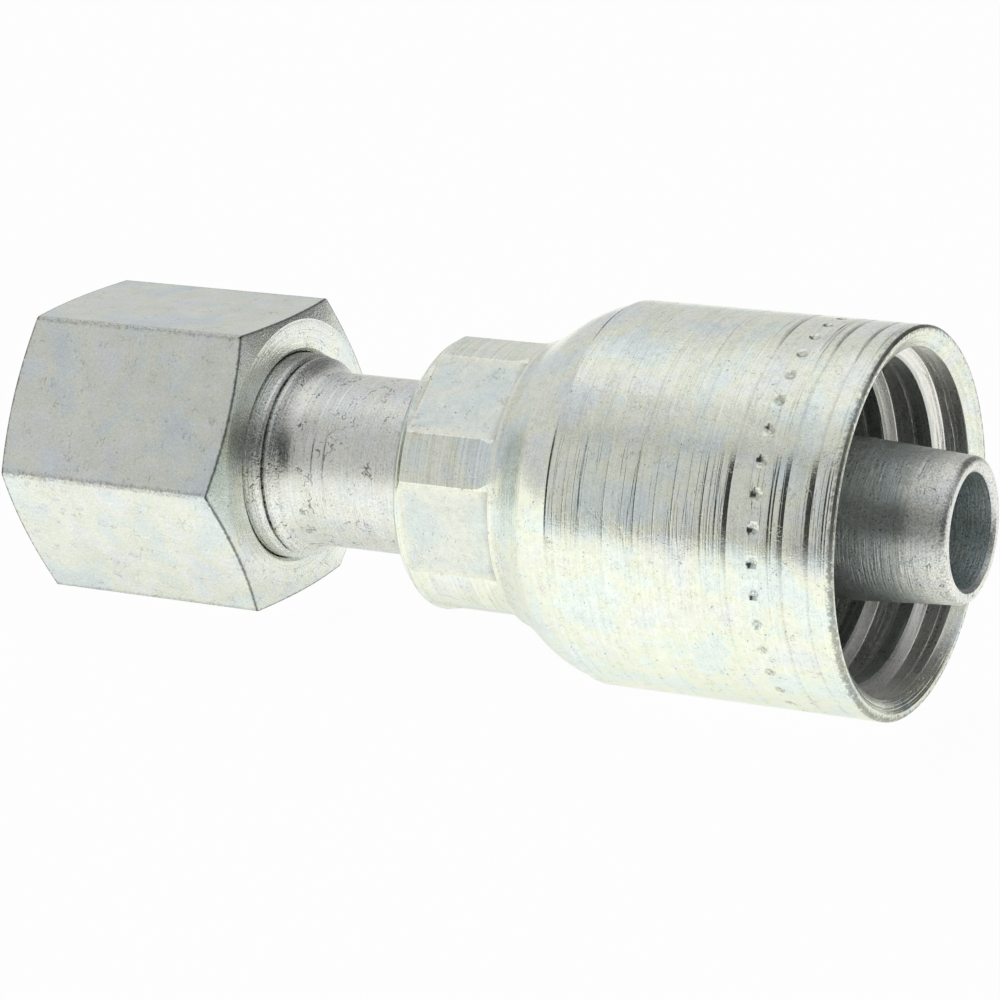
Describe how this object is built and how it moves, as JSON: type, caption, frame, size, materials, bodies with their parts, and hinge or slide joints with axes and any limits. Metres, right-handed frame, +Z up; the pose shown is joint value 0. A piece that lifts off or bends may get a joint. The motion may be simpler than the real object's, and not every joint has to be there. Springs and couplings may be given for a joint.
{
  "type": "crimp hose fitting",
  "caption": "Straight crimp hose fitting: a hexagon swivel nut on a bored stem whose nipple sits inside a crimp shell with gripping teeth.",
  "frame": {"origin": "on the surface the fitting lies on, under the middle of its box", "axes": "+X along the fitting from the nut to the hose end, which rises by about 4 degrees; +Z up"},
  "size_m": [0.0832, 0.0312, 0.0327],
  "materials": {
    "nut_steel": "bright zinc plate, lightly scuffed",
    "stem_steel": "bright zinc plate over turned steel, darker on the nipple",
    "shell_steel": "bright zinc plate over fine turning marks"
  },
  "bodies": {
    "fitting_body": {"crimp_shell": "shell_steel", "hose_stem": "stem_steel"},
    "nut": {"swivel_nut": "nut_steel"}
  },
  "joints": [
    {"name": "nut_swivel", "type": "hinge", "parent": "fitting_body", "child": "nut", "pos_m": [-0.03009, 0, 0.01261], "axis": [0.9976, 0, 0.0691], "continuous": true}
  ]
}
